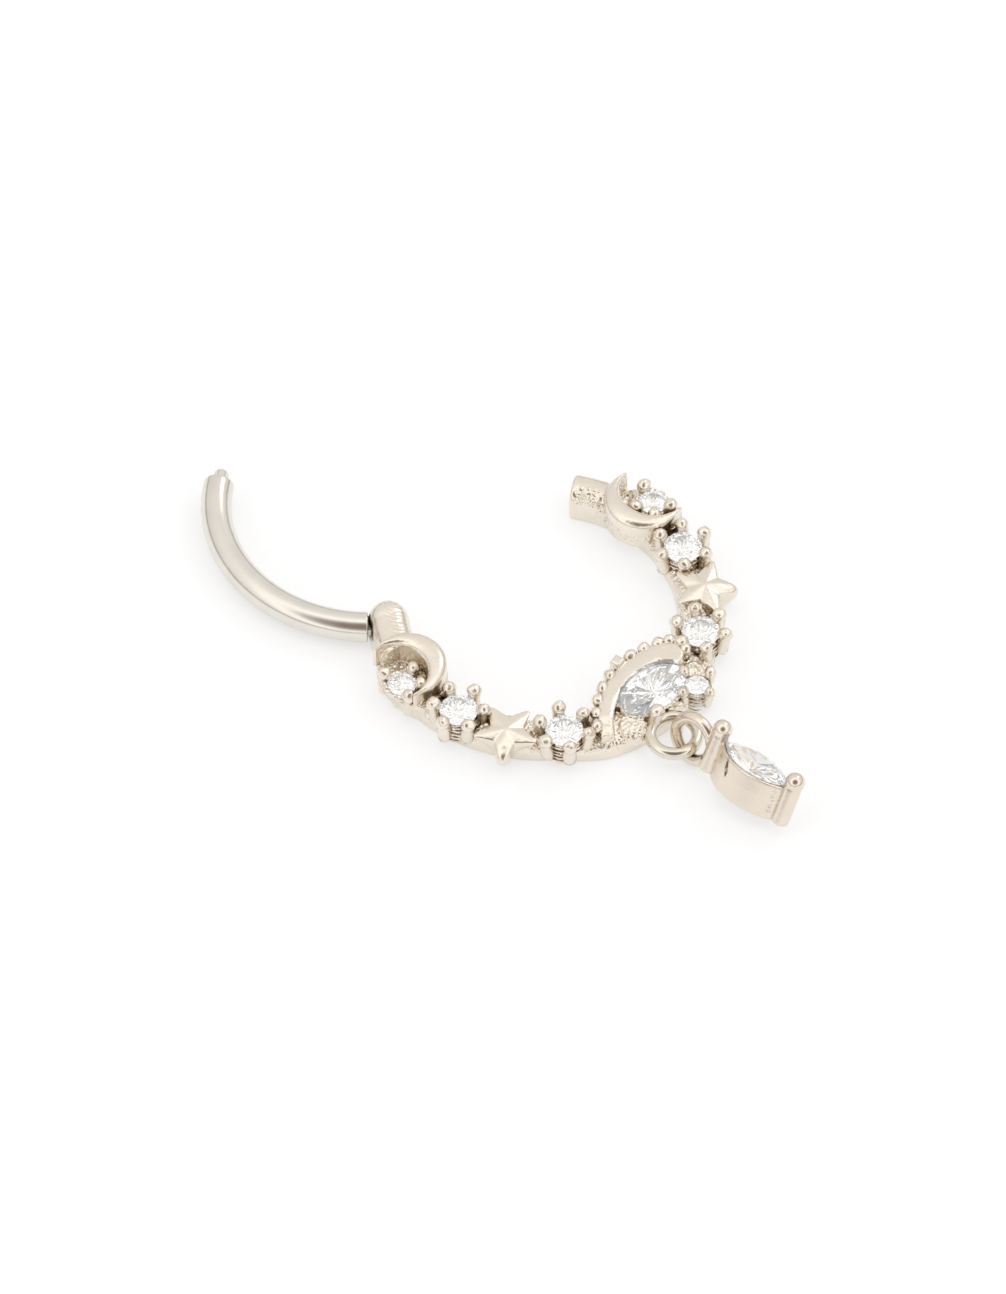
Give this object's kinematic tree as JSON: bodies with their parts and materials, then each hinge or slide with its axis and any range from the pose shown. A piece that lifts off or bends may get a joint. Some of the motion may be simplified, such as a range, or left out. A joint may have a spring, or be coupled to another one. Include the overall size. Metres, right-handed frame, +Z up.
{
  "type": "clicker ring",
  "caption": "Hinged body jewellery ring, shown open, with moon, star and stone settings along its cast front and a small marquise drop on a jump ring.",
  "frame": {"origin": "on the surface that the ring lies on, under the middle of the object's box", "axes": "+Z up out of the ring's flat back, +Y from the drop past the open hinged bar, +X towards the socket end"},
  "size_m": [0.0203, 0.0369, 0.0033],
  "materials": {
    "cast_metal": "satin rhodium plate over cast brass",
    "drop_metal": "satin rhodium plate over cast brass",
    "bar_steel": "polished surgical steel",
    "clear_stone": "faceted clear zirconia"
  },
  "bodies": {
    "root": {"cast_frame": "cast_metal", "hinge_pin": "bar_steel", "round_stone_1": "clear_stone", "round_stone_2": "clear_stone", "round_stone_3": "clear_stone", "round_stone_4": "clear_stone", "moon_stone_left": "clear_stone", "moon_stone_right": "clear_stone", "centre_stone": "clear_stone", "small_stone": "clear_stone", "drop_setting": "drop_metal", "drop_stone": "clear_stone"},
    "bar": {"hinged_bar": "bar_steel"}
  },
  "joints": [
    {"name": "bar_hinge", "type": "hinge", "parent": "root", "child": "bar", "pos_m": [-0.00596, 0.00487, 0.00096], "axis": [0, 0, 1], "range_deg": [-91, 8]}
  ]
}
